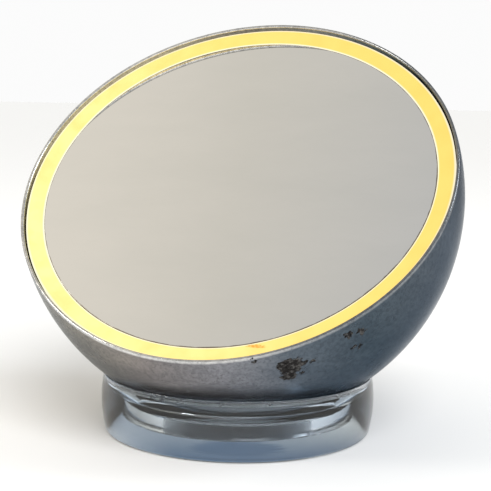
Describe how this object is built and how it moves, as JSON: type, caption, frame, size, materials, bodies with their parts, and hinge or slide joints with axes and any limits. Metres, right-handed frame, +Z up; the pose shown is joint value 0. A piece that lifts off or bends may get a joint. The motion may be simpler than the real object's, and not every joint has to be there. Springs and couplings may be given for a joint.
{
  "type": "lighted vanity mirror",
  "caption": "Chromed ball with a flat mirrored face and glowing border, resting freely in a clear acrylic block so that it tilts and turns.",
  "frame": {"origin": "centre of the acrylic block's flat underside, under the middle of the ball", "axes": "+Z up, the face looks towards -Y and 45 degrees up, +X to the right of someone facing the mirror"},
  "size_m": [0.356, 0.3246, 0.3312],
  "materials": {
    "clear_acrylic": "polished clear cast acrylic",
    "clear_vinyl": "soft clear vinyl",
    "chrome": "aged chrome plate, lightly pitted",
    "opal_border": "opal acrylic, lit from behind",
    "silvered_glass": "polished, back-silvered",
    "zinc_plate": "zinc plated",
    "foam": "open foam",
    "spring_steel": "blued spring strip",
    "white_enamel": "white stove enamel",
    "lamp_glass": "phosphor-coated glass",
    "white_plastic": "moulded",
    "starter_can": "drawn can",
    "black_enamel": "black enamel",
    "black_plastic": "moulded"
  },
  "bodies": {
    "base": {"base_block": "clear_acrylic"},
    "cushion": {"seat_cushion": "clear_vinyl"},
    "ball": {"ball_shell": "chrome", "diffuser_ring": "opal_border", "mirror_glass": "silvered_glass", "face_carrier": "zinc_plate", "mirror_pad_1": "foam", "mirror_pad_2": "foam", "mirror_pad_3": "foam", "face_clip_1": "spring_steel", "face_clip_2": "spring_steel", "face_clip_3": "spring_steel", "face_clip_4": "spring_steel", "lamp_pan": "white_enamel", "shell_bracket_1": "zinc_plate", "shell_bracket_2": "zinc_plate", "shell_bracket_3": "zinc_plate", "shell_bracket_4": "zinc_plate", "pan_screw_1": "zinc_plate", "pan_screw_2": "zinc_plate", "pan_screw_3": "zinc_plate", "pan_screw_4": "zinc_plate", "lamp_tube": "lamp_glass", "lamp_cap": "white_plastic", "lamp_clip_1": "spring_steel", "lamp_clip_2": "spring_steel", "lamp_clip_3": "spring_steel", "lamp_holder": "white_plastic", "starter_holder": "white_plastic", "starter": "starter_can", "ballast": "black_enamel", "ballast_screw_1": "zinc_plate", "ballast_screw_2": "zinc_plate", "ballast_nut_1": "zinc_plate", "ballast_nut_2": "zinc_plate", "terminal_block": "white_plastic", "cord_gland": "black_plastic", "gland_nut": "black_plastic", "switch_body": "black_plastic", "switch_collar": "chrome"},
    "button": {"push_button": "black_plastic"}
  },
  "joints": [
    {"name": "swivel", "type": "hinge", "parent": "base", "child": "cushion", "pos_m": [0, 0, 0.1884], "axis": [0, 0, 1], "continuous": true},
    {"name": "tilt", "type": "hinge", "parent": "cushion", "child": "ball", "pos_m": [0, 0, 0.1884], "axis": [-1, 0, 0], "range_deg": [-12, 45]},
    {"name": "button_press", "type": "slide", "parent": "ball", "child": "button", "axis": [-0.3732, -0.8978, -0.2339], "range_m": [0, 0.003], "stiffness_N_per_m": 700}
  ]
}
